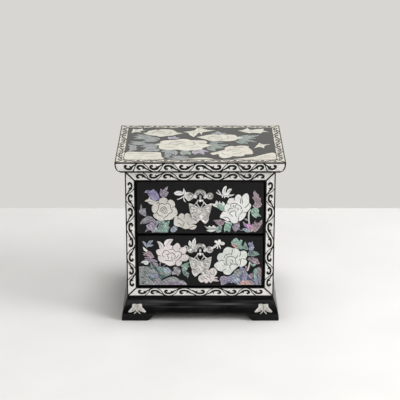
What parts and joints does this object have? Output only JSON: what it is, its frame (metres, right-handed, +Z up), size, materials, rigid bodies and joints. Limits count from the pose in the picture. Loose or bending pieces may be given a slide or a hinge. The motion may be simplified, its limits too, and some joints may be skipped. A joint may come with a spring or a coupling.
{
  "type": "two-drawer jewellery chest",
  "caption": "Small black lacquer jewellery chest with shell scroll borders, stacked drawers with hanging butterfly pulls, a moulded top and a bracket-foot plinth.",
  "frame": {"origin": "on the table under the middle of the chest", "axes": "+Z up, the drawers open towards -Y, +X to the right seen from the front"},
  "size_m": [0.126, 0.094, 0.129],
  "materials": {
    "black_lacquer": "polished black lacquer on board",
    "stained_board": "black-stained board, satin",
    "shell": "polished mother-of-pearl",
    "velvet": "short-pile velvet",
    "antique_silver": "silvered casting with dark recesses"
  },
  "bodies": {
    "cabinet": {"top_slab": "black_lacquer", "left_board": "black_lacquer", "right_board": "black_lacquer", "upper_board": "black_lacquer", "lower_board": "black_lacquer", "back_panel": "stained_board", "drawer_shelf": "stained_board", "plinth_front": "black_lacquer", "plinth_back": "black_lacquer", "plinth_left": "black_lacquer", "plinth_right": "black_lacquer", "plinth_corner_blocks": "stained_board", "frame_inlay_top": "shell", "frame_inlay_bottom": "shell", "frame_inlay_left": "shell", "frame_inlay_right": "shell", "edge_inlay_front": "shell", "edge_inlay_back": "shell", "edge_inlay_left": "shell", "edge_inlay_right": "shell", "border_inlay_front": "shell", "border_inlay_back": "shell", "border_inlay_left": "shell", "border_inlay_right": "shell"},
    "upper_drawer": {"upper_drawer_front": "black_lacquer", "upper_drawer_left_side": "stained_board", "upper_drawer_right_side": "stained_board", "upper_drawer_back": "stained_board", "upper_drawer_bottom": "stained_board", "upper_drawer_lining": "velvet", "upper_pull_plate": "antique_silver", "upper_pull_nails": "antique_silver", "upper_pull_eye_pin": "antique_silver"},
    "lower_drawer": {"lower_drawer_front": "black_lacquer", "lower_drawer_left_side": "stained_board", "lower_drawer_right_side": "stained_board", "lower_drawer_back": "stained_board", "lower_drawer_bottom": "stained_board", "lower_drawer_lining": "velvet", "lower_pull_plate": "antique_silver", "lower_pull_nails": "antique_silver", "lower_pull_eye_pin": "antique_silver"},
    "upper_butterfly": {"upper_pull_butterfly": "antique_silver"},
    "lower_butterfly": {"lower_pull_butterfly": "antique_silver"}
  },
  "joints": [
    {"name": "upper_drawer_slide", "type": "slide", "parent": "cabinet", "child": "upper_drawer", "axis": [0, -1, 0], "range_m": [0, 0.06]},
    {"name": "lower_drawer_slide", "type": "slide", "parent": "cabinet", "child": "lower_drawer", "axis": [0, -1, 0], "range_m": [0, 0.06]},
    {"name": "upper_butterfly_swing", "type": "hinge", "parent": "upper_drawer", "child": "upper_butterfly", "pos_m": [0, -0.04135, 0.0972], "axis": [-1, 0, 0], "range_deg": [0, 95]},
    {"name": "lower_butterfly_swing", "type": "hinge", "parent": "lower_drawer", "child": "lower_butterfly", "pos_m": [0, -0.04135, 0.0542], "axis": [-1, 0, 0], "range_deg": [0, 95]}
  ]
}
